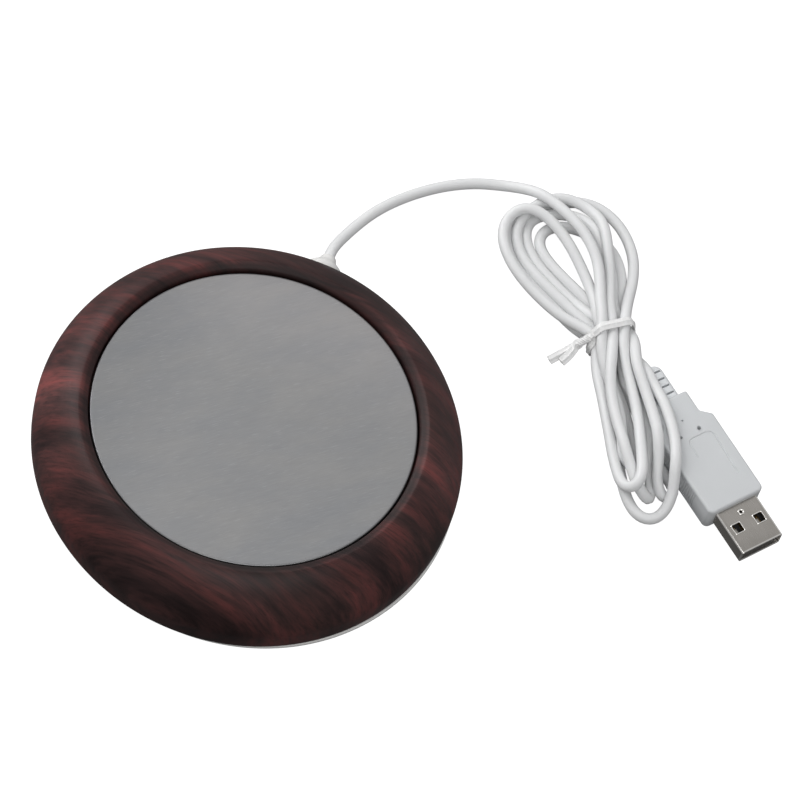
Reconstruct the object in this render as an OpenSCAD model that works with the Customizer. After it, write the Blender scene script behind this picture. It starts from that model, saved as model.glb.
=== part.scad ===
// Round electric mug warmer: a brushed metal heating plate set in a hollow wood-look
// ring, a white bottom shell on rubber feet, and a captive USB lead that is folded into
// a tied hank beside the warmer.
// Millimetres, +Z up. Origin: middle of the ring at the level of the table.
// The cord leaves at +Y.

/* [Ring] */
// Outer diameter of the wood-look ring
ring_d = 104.2; // [103.8:0.2:106]
// Wall of the hollow ring
ring_wall = 2.0; // [1.6:0.1:2.2]
// Height of the ring's lower edge above the table
ring_z0 = 2.8; // [2.6:0.1:3.0]
// Rise of the ring's crest above the plate's top face
crest_rise = 1.8; // [1.4:0.1:2.4]

/* [Heating plate] */
// Diameter of the brushed heating plate
plate_d = 79; // [78:0.5:79.5]
// Height of the plate's top face above the table
plate_z = 20.2; // [20.0:0.1:20.7]
// Sheet thickness of the plate
plate_t = 1.2; // [1.0:0.1:1.3]
// Gap between the plate and the ring's inner wall
plate_gap = 0.5; // [0.3:0.1:0.7]

/* [Heater] */
// Number of resistive arcs on the heater film
track_rings = 6; // [4:2:6]
// Thickness of the insulating felt pad
felt_t = 4.4; // [4.4:0.1:4.6]

/* [Bottom] */
// Diameter of the white bottom shell
base_d = 102.4; // [101:0.2:102.6]
// Diameter of each rubber foot
foot_d = 9; // [8:0.5:10]
// Radius at which the feet sit
foot_r = 38; // [34:1:39]
// Number of case screws
case_screws = 3; // [3:1:3]

/* [Cord and plug] */
// Diameter of the cord's jacket
cord_d = 2.8; // [2.8:0.1:2.9]
// Width of the moulded plug body
plug_w = 16.0; // [15.4:0.2:17]
// Thickness of the moulded plug body
plug_h = 8; // [7.6:0.2:8.4]

/* [Hidden] */

ring_r = ring_d / 2;
plate_r = plate_d / 2;
bore_r = plate_r + plate_gap;       // inner wall of the ring
crest_z = plate_z + crest_rise;
ledge_z0 = 15.2;                    // underside of the ledge that carries the plate
ledge_z1 = 17.0;                    // top of that ledge
ledge_r = 36;                       // inner edge of the ledge
base_z0 = 1.2;                      // underside of the bottom shell
retainer_z1 = 14.2;                 // top of the retainer plate
retainer_t = 0.8;
post_r = 44.2;                      // case screw posts
post_angles = [for (i = [0 : case_screws - 1]) 30 + 120 * i];
boss_r = 38.8;                      // retainer screw bosses
boss_angles = [45, 135, 225, 315];
cord_z = 6.5;                       // height of the cord's axis at the outlet
gland_y = 57;                       // outer end of the gland
film_z = 18.7;                      // underside of the heater film
eps = 0.01;

// ---- ring section: a cubic curve from the crest to the belly ----
crest = [plate_r + 2.7, crest_z];
belly = [ring_r, ring_z0 + 5.6];
crest_arm = [crest[0] + 4.65, crest[1] - 0.94];
belly_arm = [belly[0], belly[1] + 4.1];
function bez(a, b, c, d, t) = pow(1 - t, 3) * a + 3 * pow(1 - t, 2) * t * b
    + 3 * (1 - t) * t * t * c + pow(t, 3) * d;
function dbez(a, b, c, d, t) = 3 * pow(1 - t, 2) * (b - a) + 6 * (1 - t) * t * (c - b)
    + 3 * t * t * (d - c);
function flank(t) = bez(crest, crest_arm, belly_arm, belly, t);
function flank_normal(t) = let (d = dbez(crest, crest_arm, belly_arm, belly, t)) [-d[1], d[0]] / norm(d);
function inner_flank(t) = flank(t) - ring_wall * flank_normal(t);
n_flank = 14;
outer_pts = [for (i = [0 : n_flank]) flank(i / n_flank)];
inner_pts = [for (i = [n_flank : -1 : 5]) inner_flank(i / n_flank)];
ring_section = concat(
    [[ledge_r, ledge_z1], [bore_r, ledge_z1], [bore_r, crest_z - 1.2], [bore_r + 0.2, crest_z - 0.65],
     [bore_r + 0.7, crest_z - 0.3], [bore_r + 1.5, crest_z - 0.2]],
    outer_pts,
    [[ring_r - 0.03, ring_z0 + 2.6], [ring_r - 0.2, ring_z0 + 0.7], [ring_r - 0.8, ring_z0], [ring_r - 2.1, ring_z0]],
    inner_pts,
    [[bore_r + 2.0, ledge_z1 + 1.9], [bore_r + 2.0, ledge_z0], [ledge_r, ledge_z0]]);

// Everything inside the warmer's outer surface, used to seat the gland's flare
envelope = concat([[0, 0], [base_d / 2 + 0.03, 0], [base_d / 2 + 0.03, ring_z0], [ring_r - 0.77, ring_z0],
    [ring_r - 0.17, ring_z0 + 0.7], [ring_r, ring_z0 + 2.6]],
    [for (i = [n_flank : -1 : 0]) flank(i / n_flank) + [0.03, 0]],
    [[0, crest_z]]);

module spin() rotate_extrude($fn = 180) children();
module along_y(y) translate([0, y, cord_z]) rotate([-90, 0, 0]) children();
module at_angles(list, r) for (a = list) rotate([0, 0, a]) translate([r, 0, 0]) children();

// ---- tubes swept along routes ----
function unit(v) = v / norm(v);
function catmull(p, i, t) = let (
        n = len(p), a = p[max(i - 1, 0)], b = p[i], c = p[min(i + 1, n - 1)], d = p[min(i + 2, n - 1)])
    0.5 * (2 * b + (c - a) * t + (2 * a - 5 * b + 4 * c - d) * t * t + (3 * b - a - 3 * c + d) * t * t * t);
function smooth(p, k) = concat([for (i = [0 : len(p) - 2], j = [0 : k - 1]) catmull(p, i, j / k)], [p[len(p) - 1]]);
function tangent(p, i, t0, t1) = i == 0 ? t0 : i == len(p) - 1 ? t1 : unit(p[i + 1] - p[i - 1]);
// carries a side vector along the route with no twist
function frames(p, t0, t1, i = 0, side = [0, 0, 1], out = []) = i == len(p) ? out :
    let (t = tangent(p, i, t0, t1), s = unit(side - (side * t) * t))
    frames(p, t0, t1, i + 1, s, concat(out, [[p[i], t, s]]));
module tube(p, d, t0, t1, sides = 8, side = [0, 0, 1]) {
    f = frames(p, t0, t1, 0, side);
    n = len(f);
    pts = [for (i = [0 : n - 1], j = [0 : sides - 1])
        let (a = 360 * (j + 0.5) / sides, b = cross(f[i][1], f[i][2]))
        f[i][0] + d / 2 * (cos(a) * f[i][2] + sin(a) * b)];
    faces = concat(
        [[for (j = [sides - 1 : -1 : 0]) j]],
        [for (i = [0 : n - 2], j = [0 : sides - 1])
            [i * sides + j, i * sides + (j + 1) % sides, (i + 1) * sides + (j + 1) % sides]],
        [for (i = [0 : n - 2], j = [0 : sides - 1])
            [i * sides + j, (i + 1) * sides + (j + 1) % sides, (i + 1) * sides + j]],
        [[for (j = [0 : sides - 1]) (n - 1) * sides + j]]);
    polyhedron(points = pts, faces = faces, convexity = 6);
}

// ---- routes, chosen by hand ----
lead_route = [[0, 52, 6.5], [0, 57, 6.5], [0, 60.5, 6], [0.5, 64, 4.5], [2, 69, 2.8], [4, 74.5, 1.8], [7.5, 80.5, 1.4],
    [13, 87, 1.4], [19, 92, 1.4], [25, 95.5, 1.4], [30, 97.8, 1.9], [34, 98.8, 3], [37.5, 98.7, 4.6]];
red_route = [[-0.7, 31, 6.5], [-0.7, 28, 6.5], [-4, 20, 6], [-10, 12, 6.2], [-13.5, 4, 8], [-14, 0.8, 12],
    [-13.6, 0.2, 15.7], [-12.4, 0, 16.9], [-11, 0, 17]];
black_route = [[0.7, 31, 6.5], [0.7, 28, 6.5], [4, 20, 6], [9, 12, 6.2], [11.2, 7, 8], [11.5, 5, 12], [11.5, 5, 15.5], [11.5, 5, 18.1]];
jumper_route = [[11, 0, 17], [12.4, -0.4, 16.7], [13.2, -2, 15.7], [12.6, -4, 15.5], [11.6, -5, 16.5], [11.5, -5, 18.1]];

// ---- plug and hank placement ----
module at_plug() translate([115.4, 35.6, 0]) rotate([0, 0, -38.3]) children();
module at_hank() translate([38.9, 98.2, 0]) rotate([0, 0, -51.7]) children();
plug_z = 4;                // height of the plug's axis
neck_w = 10.8;
body_len = 23.4;
neck_end = -31.8;
boot_end = -41.8;
tie_s = 44;                // tie position along the hank
hank_h = 11.8;
tie_top = 9.7;             // inner top of the tie's band

// Hollow wood-look ring: outer flank, lip, ledge for the plate, screw posts and bosses
module wood_ring() color([0.29, 0.12, 0.11]) difference() {
    union() {
        spin() polygon(ring_section);
        at_angles(post_angles, post_r) translate([0, 0, 5.2]) cylinder(d = 5.6, h = retainer_z1 - 1.3, $fn = 48);
        at_angles(boss_angles, boss_r) translate([0, 0, retainer_z1]) cylinder(d = 4.8, h = 1.6, $fn = 48);
    }
    at_angles(post_angles, post_r) translate([0, 0, 5.1]) cylinder(d = 2.5, h = 8.1, $fn = 32);
    at_angles(boss_angles, boss_r) translate([0, 0, retainer_z1 - 0.1]) cylinder(d = 2.1, h = 2.5, $fn = 32);
    // slot for the cord gland's neck
    along_y(46) cylinder(d = 5.8, h = 10, $fn = 48);
    translate([-2.9, 46, 2]) cube([5.8, 10, cord_z - 2]);
}

// White bottom shell with its rim, screw posts, clamp posts, foot recesses and gland seat
module base_shell() color([0.93, 0.93, 0.91]) difference() {
    union() {
        spin() polygon([[0, base_z0], [base_d / 2 - 0.5, base_z0], [base_d / 2, base_z0 + 0.5],
            [base_d / 2, ring_z0], [0, ring_z0]]);
        difference() {
            spin() polygon([[47.9, ring_z0 - 0.2], [49.5, ring_z0 - 0.2], [49.5, 5.6], [49.2, 6], [47.9, 6]]);
            translate([-5, 40, ring_z0]) cube([10, 12, 8]);
        }
        at_angles(post_angles, post_r) translate([0, 0, ring_z0 - 0.2]) cylinder(d = 7.6, h = 2.6, $fn = 48);
        // seat that fills the slot below the gland's neck
        translate([-2.8, 49.8, ring_z0 - 0.2]) cube([5.6, 1.2, 2.4]);
        // cord saddle and clamp posts
        translate([-3, 34, ring_z0 - 0.2]) cube([6, 4, cord_z - cord_d / 2 - ring_z0 + 0.2]);
        for (x = [-6.5, 6.5]) translate([x, 36, ring_z0 - 0.2]) cylinder(d = 5, h = cord_z + cord_d / 2 - ring_z0 + 0.2, $fn = 48);
    }
    at_angles(post_angles, post_r) {
        translate([0, 0, 0]) cylinder(d = 5.2, h = 3.6, $fn = 48);
        translate([0, 0, 3]) cylinder(d = 2.9, h = 4, $fn = 32);
    }
    at_angles(boss_angles, foot_r) cylinder(d = foot_d + 0.2, h = 2, $fn = 64);
    for (x = [-6.5, 6.5]) translate([x, 36, 4]) cylinder(d = 1.9, h = 6, $fn = 32);
    // clearance around the gland's neck
    along_y(48) cylinder(d = 5.7, h = 8, $fn = 48);
    // shallow bare recess on the underside
    translate([0, 0, base_z0 - 1]) cylinder(d = 44, h = 1.25, $fn = 128);
}

// Brushed plate: flat disc with a turned-down rim
module heating_plate() color([0.62, 0.62, 0.63])
    spin() polygon([[0, plate_z - plate_t], [plate_r - 1.2, plate_z - plate_t], [plate_r - 1.2, ledge_z1 + 0.7],
        [plate_r, ledge_z1 + 0.7], [plate_r, plate_z - 0.4], [plate_r - 0.12, plate_z - 0.12], [plate_r - 0.4, plate_z],
        [0, plate_z]]);

// Silicone gasket between the plate's rim and the ledge
module plate_gasket() color([0.08, 0.08, 0.08])
    spin() polygon([[37.4, ledge_z1], [plate_r, ledge_z1], [plate_r, ledge_z1 + 0.7], [37.4, ledge_z1 + 0.7]]);

// Polyimide heater film bonded under the plate
module heater_film() color([0.75, 0.45, 0.12])
    translate([0, 0, film_z]) cylinder(r = 35.4, h = plate_z - plate_t - film_z, $fn = 180);

// Etched resistive arcs under the film: a serpentine from one terminal out to the edge
// and back along the last arc to the other terminal
track_w = 2.0;
track_step = 20 / (track_rings - 1);
term_r = 12.6;
module arc_band(r, w, a0, a1, z, h) translate([0, 0, z]) rotate([0, 0, a0])
    rotate_extrude(angle = a1 - a0, $fn = 180) translate([r - w / 2, 0]) square([w, h]);
module heater_track() color([0.72, 0.52, 0.28]) translate([0, 0, film_z - 0.1]) union() {
    for (i = [0 : track_rings - 1])
        arc_band(term_r + i * track_step, track_w, i == track_rings - 1 ? -24 : 24, 318, 0, 0.1);
    for (i = [0 : track_rings - 2])
        rotate([0, 0, i % 2 == 0 ? 318 : 24]) translate([term_r + i * track_step, i % 2 == 0 ? -1.3 : 0.4, 0])
            cube([track_step, 0.9, 0.1]);
    rotate([0, 0, -24]) translate([term_r - 0.8, -0.9, 0]) cube([20.8, 1.7, 0.1]);
}

// Two solder terminals under the track where the wires end
module film_terminals() color([0.75, 0.75, 0.77])
    for (y = [-5, 5]) translate([11.5, y, film_z - 0.6]) cylinder(d = 1.6, h = 0.5, $fn = 32);

// Felt pad that presses the film to the plate, with a window for the thermostat and wires
module insulation_pad() color([0.85, 0.83, 0.74]) difference() {
    translate([0, 0, film_z - 0.1 - felt_t]) cylinder(r = 35.2, h = felt_t, $fn = 120);
    translate([-17, -8, 10]) cube([34, 16, 12]);
}

// Bimetal thermostat with a lead at each end
module thermostat() color([0.15, 0.15, 0.16]) union() {
    translate([-9, -3.5, film_z - 3.4]) cube([18, 7, 3.4]);
    for (s = [-1, 1]) translate([s * 8.9, 0, film_z - 1.7]) rotate([0, s * 90, 0]) cylinder(d = 0.8, h = 2.1, $fn = 24);
}

// Pressed steel plate that holds the pad up
module retainer_plate() color([0.7, 0.7, 0.72]) difference() {
    translate([0, 0, retainer_z1 - retainer_t]) cylinder(r = 41, h = retainer_t, $fn = 120);
    translate([-16, -7, 10]) cube([32, 14, 8]);
    at_angles(boss_angles, boss_r) translate([0, 0, 10]) cylinder(d = 2.7, h = 8, $fn = 32);
}

module pan_screw(shank_d, shank_l, head_d, head_h) union() {
    cylinder(d = shank_d, h = shank_l, $fn = 32);
    difference() {
        translate([0, 0, -head_h]) cylinder(d = head_d, h = head_h, $fn = 32);
        for (a = [0, 90]) rotate([0, 0, a]) translate([-head_d * 0.28, -0.3, -head_h - 1]) cube([head_d * 0.56, 0.6, 1.7]);
    }
}
module retainer_screws() color([0.75, 0.75, 0.77])
    at_angles(boss_angles, boss_r) translate([0, 0, retainer_z1 - retainer_t]) pan_screw(2.0, 3.0, 4.2, 1.2);
module case_screw_set() color([0.75, 0.75, 0.77])
    at_angles(post_angles, post_r) translate([0, 0, 3.6]) pan_screw(2.4, 8.6, 4.8, 1.5);

module rubber_feet() color([0.1, 0.1, 0.1])
    at_angles(boss_angles, foot_r) union() {
        cylinder(d1 = foot_d - 0.6, d2 = foot_d, h = 0.4, $fn = 64);
        translate([0, 0, 0.4]) cylinder(d = foot_d, h = 1.6, $fn = 64);
    }

// Moulded gland: flange inside, neck through the slot, flare outside
module cord_gland() color([0.92, 0.92, 0.9]) difference() {
    union() {
        along_y(47.6) cylinder(d = 7.2, h = 1.6, $fn = 64);
        along_y(49.1) cylinder(d = 5.6, h = 4, $fn = 64);
        difference() {
            along_y(0) rotate_extrude($fn = 96) polygon([[0, 48.5], [4.8, 48.5], [4.8, 52.6], [4.5, 53.5],
                [3.75, 54.4], [2.75, 55.3], [2.15, 56.1], [1.9, gland_y], [0, gland_y]]);
            spin() polygon(envelope);
        }
    }
    along_y(40) cylinder(d = cord_d + 0.04, h = 30, $fn = 64);
}

// Straight end of the cord from the gland's neck to the clamp
module cord_inner() color([0.92, 0.92, 0.9])
    along_y(31) cylinder(d = cord_d, h = 21, $fn = 48);

module cord_clamp() color([0.2, 0.2, 0.2]) difference() {
    translate([-9.5, 33.5, cord_z + cord_d / 2]) cube([19, 5, 1.5]);
    for (x = [-6.5, 6.5]) translate([x, 36, 5]) cylinder(d = 2.3, h = 8, $fn = 32);
}
module clamp_screws() color([0.75, 0.75, 0.77])
    for (x = [-6.5, 6.5]) translate([x, 36, cord_z + cord_d / 2 + 1.5]) mirror([0, 0, 1]) pan_screw(1.8, 4.8, 3.8, 1.0);

module lead_red() color([0.75, 0.1, 0.1]) tube(smooth(red_route, 3), 1.1, [0, -1, 0], [1, 0, 0], 8);
module lead_black() color([0.08, 0.08, 0.08]) tube(smooth(black_route, 3), 1.1, [0, -1, 0], [0, 0, 1], 8);
module jumper_wire() color([0.08, 0.08, 0.08]) tube(smooth(jumper_route, 3), 0.9, [1, 0, 0], [0, 0, 1], 8);

// Free cord: straight out of the gland, down to the table, along it and up onto the hank
module cord_lead() color([0.93, 0.93, 0.93])
    tube(smooth(lead_route, 4), cord_d, [0, 1, 0], unit([0.9, -0.1, 0.4]), 8, [0, 0, 1]);

module plug_room(top) at_plug() union() {
    translate([boot_end - 0.2, -4.4, -1]) cube([10.6, 8.8, top + 1]);
    translate([neck_end - 0.1, -neck_w / 2 - 0.2, -1]) cube([10, neck_w + 0.4, top + 1]);
    translate([-body_len - 2.3, -plug_w / 2 - 0.3, -1]) cube([body_len + 15, plug_w + 0.6, top + 1]);
}
// Outer shape of the folded and tied cord
module cord_hank() color([0.93, 0.93, 0.93]) difference() {
    at_hank() linear_extrude(hank_h) union() {
        hull() {
                translate([11, 0]) circle(12.9, $fn = 32);
                translate([15, 8.5]) circle(14, $fn = 32);
                translate([26, 0.5]) circle(10, $fn = 32);
                translate([tie_s, 7.5]) circle(6.4, $fn = 32);
            }
        hull() {
                translate([tie_s, 7.5]) circle(6.4, $fn = 32);
                translate([60, 6.3]) circle(9.4, $fn = 32);
                translate([82.6, 3]) circle(10.4, $fn = 32);
            }
    }
    plug_room(plug_h);
    at_hank() difference() {
        translate([tie_s - 1.4, -12, -1]) cube([2.8, 40, hank_h + 4]);
        translate([tie_s - 2, 2, 1.3]) cube([4, 11, tie_top - 1.3]);
    }
}

// Flat strip from p to q in the plane of the table
module strip(p, q, w, z, h) translate([p[0], p[1], z])
    rotate([0, 0, atan2(q[1] - p[1], q[0] - p[0])]) translate([0, -w / 2, 0]) cube([norm(q - p), w, h]);

// Twist tie round the hank's waist, with its twisted neck and two tails
module twist_tie() color([0.9, 0.9, 0.9]) at_hank() union() {
    difference() {
        translate([tie_s - 1, 0.9, 0.2]) cube([2, 13.2, tie_top + 0.9]);
        translate([tie_s - 2, 2, 1.3]) cube([4, 11, tie_top - 1.3]);
    }
    strip([tie_s, 1.1], [tie_s, -1.8], 2.0, 1.2, 3);
    strip([tie_s, -1], [45.6, -9.6], 2.2, 1.4, 1.2);
    strip([tie_s, -1], [47.5, -6.5], 2.2, 2.4, 1.2);
}

// ---- plug, axis along local +X towards the tip ----
module along_x(x0, x1, d, f = 48) translate([x0, 0, plug_z]) rotate([0, 90, 0]) cylinder(d = d, h = x1 - x0, $fn = f);

// Flattened round bar along the plug's axis
module flat_x(x0, x1, d, spread) hull() for (s = [-1, 1]) translate([0, s * spread, 0]) along_x(x0, x1, d);
module plug_strain_relief() color([0.92, 0.92, 0.92]) at_plug() difference() {
    union() {
        flat_x(boot_end, neck_end, 4.2, 1.0);
        flat_x(boot_end, boot_end + 1.7, 5.4, 1.1);
        for (i = [0 : 3]) flat_x(boot_end + 2.4 + i * 2.0, boot_end + 3.8 + i * 2.0, 5.6, 1.2);
    }
    along_x(boot_end - 1, neck_end + 1, cord_d + 0.04);
}

module body_plan() polygon([[0, -plug_w / 2 + 1.1], [0, plug_w / 2 - 1.1], [-1.1, plug_w / 2], [-body_len, plug_w / 2],
    [-body_len - 2.2, neck_w / 2], [neck_end, neck_w / 2], [neck_end, -neck_w / 2], [-body_len - 2.2, -neck_w / 2],
    [-body_len, -plug_w / 2], [-1.1, -plug_w / 2]]);
module body_end() translate([neck_end - 1, 0, plug_z]) rotate([90, 0, 90]) linear_extrude(40)
    polygon([for (s = [[1, 1], [-1, 1], [-1, -1], [1, -1]], k = [0, 1])
        let (w = plug_w / 2, h = plug_h / 2, c = 1.0, odd = s[0] * s[1] > 0 ? k : 1 - k)
        odd == 0 ? [s[0] * w, s[1] * (h - c)] : [s[0] * (w - c), s[1] * h]]);
module plug_overmold() color([0.92, 0.92, 0.92]) at_plug() difference() {
    intersection() {
        linear_extrude(plug_h) body_plan();
        body_end();
    }
    translate([-6.5, -6.02, plug_z - 2.27]) cube([8, 12.04, 4.54]);
    translate([-13, -5, plug_z - 2]) cube([7, 10, 4]);
    along_x(neck_end - 1, -12, cord_d + 0.04);
}
module plug_cord_end() color([0.93, 0.93, 0.93]) at_plug() along_x(boot_end, -13, cord_d);
module plug_core() color([0.85, 0.85, 0.8]) at_plug() translate([-13, -5, plug_z - 2]) cube([6.5, 10, 4]);
module plug_shell() color([0.75, 0.75, 0.76]) at_plug() difference() {
    translate([-6.5, -6, plug_z - 2.25]) cube([18.5, 12, 4.5]);
    translate([-7, -5.7, plug_z - 1.95]) cube([20, 11.4, 3.9]);
    for (s = [-1, 1]) translate([4.35, s * 2.85 - 1.25, plug_z - 3]) cube([2.5, 2.5, 6]);
}
module plug_tongue() color([0.95, 0.95, 0.95]) at_plug()
    translate([-6.5, -5.7, plug_z - 1.95]) cube([17.8, 11.4, 1.9]);
module plug_contacts() color([0.83, 0.68, 0.35]) at_plug()
    for (i = [0 : 3]) translate([-5, [-3.5, -1, 1, 3.5][i] - 0.5, plug_z - 0.05]) cube([15.2 + (i % 3 == 0 ? 1 : 0), 1, 0.25]);

wood_ring();
base_shell();
heating_plate();
plate_gasket();
heater_film();
heater_track();
film_terminals();
insulation_pad();
thermostat();
retainer_plate();
retainer_screws();
case_screw_set();
rubber_feet();
cord_gland();
cord_inner();
cord_clamp();
clamp_screws();
lead_red();
lead_black();
jumper_wire();
cord_lead();
cord_hank();
twist_tie();
plug_strain_relief();
plug_overmold();
plug_cord_end();
plug_core();
plug_shell();
plug_tongue();
plug_contacts();
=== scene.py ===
import math

import bmesh
import bpy
import numpy as np
from mathutils import Matrix, Vector


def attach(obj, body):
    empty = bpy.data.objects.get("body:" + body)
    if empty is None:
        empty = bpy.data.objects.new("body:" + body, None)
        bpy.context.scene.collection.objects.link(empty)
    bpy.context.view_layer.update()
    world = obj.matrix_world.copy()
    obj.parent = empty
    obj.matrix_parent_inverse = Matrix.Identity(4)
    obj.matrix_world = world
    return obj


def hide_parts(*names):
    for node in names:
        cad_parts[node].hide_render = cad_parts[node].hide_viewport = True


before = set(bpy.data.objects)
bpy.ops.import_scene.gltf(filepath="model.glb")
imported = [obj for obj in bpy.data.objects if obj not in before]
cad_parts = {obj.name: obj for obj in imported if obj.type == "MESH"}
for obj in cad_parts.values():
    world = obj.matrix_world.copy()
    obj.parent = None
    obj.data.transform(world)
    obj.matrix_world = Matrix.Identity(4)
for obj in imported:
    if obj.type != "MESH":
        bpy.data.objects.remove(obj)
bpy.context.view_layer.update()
MM = 0.001
V = Vector

# ---------------------------------------------------------------- camera
cam_data = bpy.data.cameras.new("camera")
cam_data.lens = 225.0
cam_data.sensor_width = 36.0
cam_data.sensor_fit = "HORIZONTAL"
cam_data.clip_start = 0.05
cam_data.clip_end = 20.0
camera = bpy.data.objects.new("camera", cam_data)
bpy.context.scene.collection.objects.link(camera)
right = V((0.92637, 0.34049, 0.16093)).normalized()
ahead = V((-0.03042, 0.49357, -0.86918)).normalized()
down = ahead.cross(right).normalized()
right = down.cross(ahead).normalized()
rot = Matrix((right, -down, -ahead)).transposed().to_4x4()
camera.matrix_world = Matrix.Translation(V((0.06693, -0.57411, 1.06542))) @ rot
bpy.context.scene.camera = camera


# ---------------------------------------------------------------- mesh helpers (millimetres in, metres out)
def new_object(name, mesh):
    o = bpy.data.objects.new(name, mesh)
    bpy.context.scene.collection.objects.link(o)
    return o


def build(name, verts, faces, sharp=34.0):
    me = bpy.data.meshes.new(name)
    me.from_pydata([tuple(c * MM for c in v) for v in verts], [], faces)
    bm = bmesh.new()
    bm.from_mesh(me)
    bmesh.ops.remove_doubles(bm, verts=bm.verts, dist=1e-7)
    bmesh.ops.recalc_face_normals(bm, faces=bm.faces)
    bm.to_mesh(me)
    bm.free()
    finish_shading(me, sharp)
    return new_object(name, me)


def finish_shading(me, sharp=34.0):
    me.shade_smooth()
    me.set_sharp_from_angle(angle=math.radians(sharp))


def apply_modifiers(o, sharp=34.0):
    dg = bpy.context.evaluated_depsgraph_get()
    me = bpy.data.meshes.new_from_object(o.evaluated_get(dg))
    old = o.data
    o.modifiers.clear()
    o.data = me
    bpy.data.meshes.remove(old)
    finish_shading(me, sharp)
    return o


def cut(o, *tools, sharp=34.0):
    for t in tools:
        m = o.modifiers.new("cut", "BOOLEAN")
        m.operation = "DIFFERENCE"
        m.solver = "EXACT"
        m.object = t
    bpy.context.view_layer.update()
    apply_modifiers(o, sharp)
    for t in tools:
        me = t.data
        bpy.data.objects.remove(t)
        bpy.data.meshes.remove(me)
    return o


def bevelled(o, width, segments=4, angle=30.0, sharp=34.0):
    m = o.modifiers.new("bevel", "BEVEL")
    m.width = width * MM
    m.segments = segments
    m.limit_method = "ANGLE"
    m.angle_limit = math.radians(angle)
    m.harden_normals = False
    bpy.context.view_layer.update()
    return apply_modifiers(o, sharp)


def revolve(name, profile, n=256, closed=True, place=None, sharp=34.0):
    """Turns (radius, height) points round an axis. A closed profile makes a ring; an open one starts and ends on the axis."""
    place = place or (lambda x, y, z: (x, y, z))
    m = len(profile)
    verts, faces = [], []
    for i in range(n):
        a = 2 * math.pi * i / n
        for r, z in profile:
            verts.append(place(r * math.cos(a), r * math.sin(a), z))
    for i in range(n):
        j = (i + 1) % n
        for k in range(m if closed else m - 1):
            l = (k + 1) % m
            f = [i * m + k, j * m + k, j * m + l, i * m + l]
            faces.append(f)
    me = bpy.data.meshes.new(name)
    me.from_pydata([tuple(c * MM for c in v) for v in verts], [], faces)
    bm = bmesh.new()
    bm.from_mesh(me)
    bmesh.ops.remove_doubles(bm, verts=bm.verts, dist=1e-7)
    bmesh.ops.dissolve_degenerate(bm, dist=1e-7, edges=bm.edges)
    bmesh.ops.recalc_face_normals(bm, faces=bm.faces)
    bm.to_mesh(me)
    bm.free()
    finish_shading(me, sharp)
    return new_object(name, me)


def fillet(points, radii, steps=5):
    """Rounds the corners of a polygon. radii is one number or one for each corner."""
    n = len(points)
    if not hasattr(radii, "__len__"):
        radii = [radii] * n
    out = []
    for i in range(n):
        p, a, b = np.array(points[i], float), np.array(points[i - 1], float), np.array(points[(i + 1) % n], float)
        r = radii[i]
        u, v = a - p, b - p
        lu, lv = np.linalg.norm(u), np.linalg.norm(v)
        u, v = u / lu, v / lv
        ang = math.acos(max(-1, min(1, float(u @ v))))
        if r <= 0 or ang > math.pi - 0.02:
            out.append(tuple(p))
            continue
        t = min(r / math.tan(ang / 2), 0.49 * lu, 0.49 * lv)
        r = t * math.tan(ang / 2)
        bis = (u + v) / np.linalg.norm(u + v)
        c = p + bis * (r / math.sin(ang / 2))
        s, e = p + u * t - c, p + v * t - c
        for k in range(steps + 1):
            f = k / steps
            w = s * (1 - f) + e * f
            out.append(tuple(c + w / np.linalg.norm(w) * r))
    return out


def catmull(points, step):
    p = np.array(points, float)
    q = np.vstack([2 * p[0] - p[1], p, 2 * p[-1] - p[-2]])
    out = []
    t = np.linspace(0, 1, 12, endpoint=False)[:, None]
    for i in range(1, len(q) - 2):
        a, b, c, d = q[i - 1], q[i], q[i + 1], q[i + 2]
        out.append(0.5 * (2 * b + (c - a) * t + (2 * a - 5 * b + 4 * c - d) * t**2 + (3 * b - a - 3 * c + d) * t**3))
    out = np.vstack(out + [p[-1:]])
    s = np.r_[0, np.cumsum(np.linalg.norm(np.diff(out, axis=0), axis=1))]
    u = np.linspace(0, s[-1], int(round(s[-1] / step)) + 1)
    return np.stack([np.interp(u, s, out[:, k]) for k in range(3)], axis=1)


def unit(v):
    return v / max(np.linalg.norm(v), 1e-12)


def sweep(name, path, section, side=None, sides=None, closed=False, scales=None, sharp=50.0):
    """Sweeps a closed section, points (across, up), along a path. sides gives the across direction at each point;
    otherwise it is carried along with no twist."""
    path = np.array(path, float)
    n, m = len(path), len(section)
    tang = np.zeros_like(path)
    tang[1:-1] = path[2:] - path[:-2]
    if closed:
        tang[0] = path[1] - path[-1]
        tang[-1] = path[0] - path[-2]
    else:
        tang[0], tang[-1] = path[1] - path[0], path[-1] - path[-2]
    verts, faces = [], []
    s = np.array(side if side is not None else (0, 0, 1), float)
    for i in range(n):
        t = unit(tang[i])
        if sides is not None:
            s = np.array(sides[i], float)
        s = unit(s - (s @ t) * t)
        b = np.cross(t, s)
        k = 1.0 if scales is None else scales[i]
        for x, y in section:
            verts.append(path[i] + (x * s + y * b) * k)
    for i in range(n if closed else n - 1):
        j = (i + 1) % n
        for k in range(m):
            l = (k + 1) % m
            faces.append([i * m + k, i * m + l, j * m + l, j * m + k])
    if not closed:
        faces.append(list(range(m))[::-1])
        faces.append([(n - 1) * m + k for k in range(m)])
    return build(name, verts, faces, sharp)


def circle(r, n=20):
    return [(r * math.cos(2 * math.pi * k / n), r * math.sin(2 * math.pi * k / n)) for k in range(n)]


def prism(name, outline, z0, z1, place, sharp=34.0):
    n = len(outline)
    verts = [place(x, y, z0) for x, y in outline] + [place(x, y, z1) for x, y in outline]
    faces = [list(range(n))[::-1], [n + k for k in range(n)]]
    faces += [[k, (k + 1) % n, n + (k + 1) % n, n + k] for k in range(n)]
    return build(name, verts, faces, sharp)


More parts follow.
